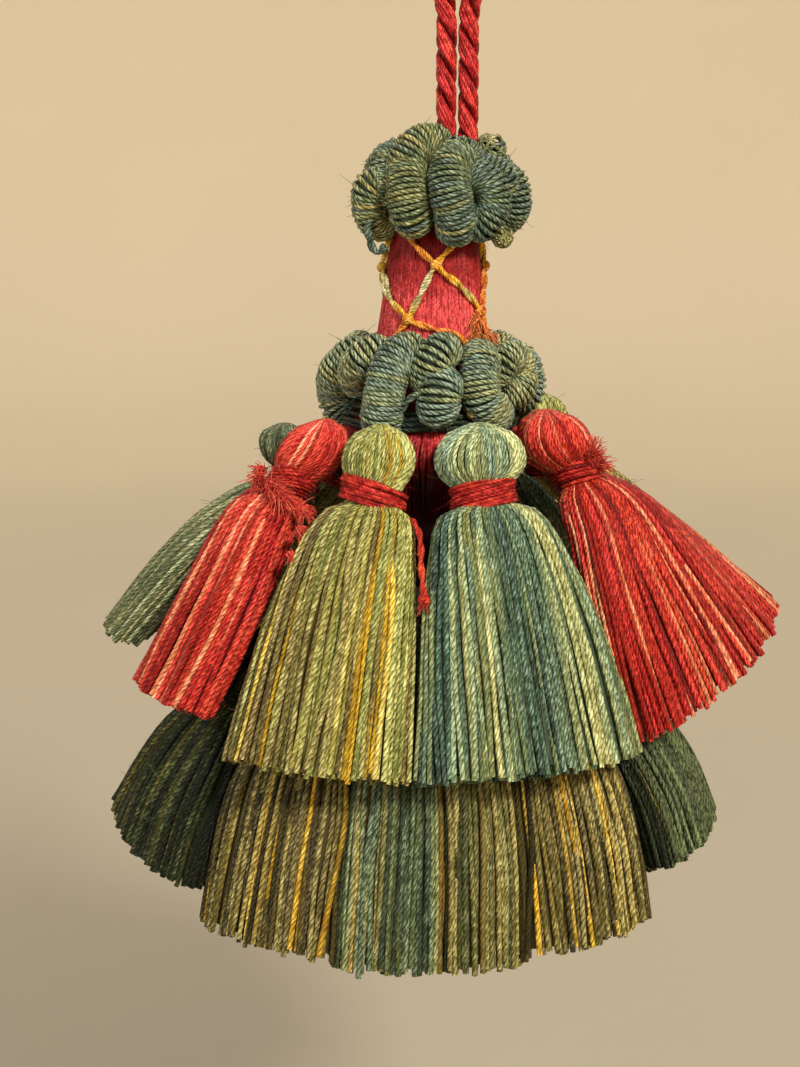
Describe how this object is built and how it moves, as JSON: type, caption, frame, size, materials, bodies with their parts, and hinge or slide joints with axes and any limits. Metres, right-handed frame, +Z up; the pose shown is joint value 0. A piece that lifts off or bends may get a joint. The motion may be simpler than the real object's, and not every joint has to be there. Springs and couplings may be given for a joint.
{
  "type": "tassel",
  "caption": "Decorative yarn tassel on a twisted hanging cord: netted floss-wrapped neck, thread-wound ruffs and tiers of tied small tassels",
  "frame": {"origin": "inside the top of the hanging loop, where a hook or knob holds the cord", "axes": "+Z up along the cord, -Y towards the side that faces the room, +X to the viewer's right"},
  "size_m": [0.1004, 0.0844, 0.1419],
  "materials": {
    "cord_yarn": "silky",
    "neck_floss": "silky",
    "net_thread": "silky",
    "ruff_thread": "silky",
    "tie_thread": "silky",
    "yarn_red": "silky",
    "yarn_olive": "silky",
    "yarn_teal": "silky",
    "yarn_sage": "silky",
    "yarn_dark_green": "silky",
    "yarn_green": "silky",
    "yarn_moss": "silky"
  },
  "bodies": {
    "root": {"hanging_cord": "cord_yarn", "neck": "neck_floss", "netting": "net_thread", "top_ruff": "ruff_thread", "lower_ruff": "ruff_thread", "tie_tail": "tie_thread", "upper_tassel_1": "yarn_sage", "upper_tie_1": "tie_thread", "upper_tassel_2": "yarn_red", "upper_tie_2": "tie_thread", "upper_tassel_3": "yarn_olive", "upper_tie_3": "tie_thread", "upper_tassel_4": "yarn_teal", "upper_tie_4": "tie_thread", "upper_tassel_5": "yarn_red", "upper_tie_5": "tie_thread", "upper_tassel_6": "yarn_olive", "upper_tie_6": "tie_thread", "upper_tassel_7": "yarn_teal", "upper_tie_7": "tie_thread", "upper_tassel_8": "yarn_red", "upper_tie_8": "tie_thread", "upper_tassel_9": "yarn_olive", "upper_tie_9": "tie_thread", "lower_tassel_1": "yarn_dark_green", "lower_tassel_2": "yarn_olive", "lower_tassel_3": "yarn_green", "lower_tassel_4": "yarn_moss", "lower_tassel_5": "yarn_olive", "lower_tassel_6": "yarn_dark_green", "lower_tassel_7": "yarn_dark_green", "lower_tassel_8": "yarn_olive", "lower_tassel_9": "yarn_green", "lower_tassel_10": "yarn_moss", "lower_tassel_11": "yarn_olive"}
  },
  "joints": []
}
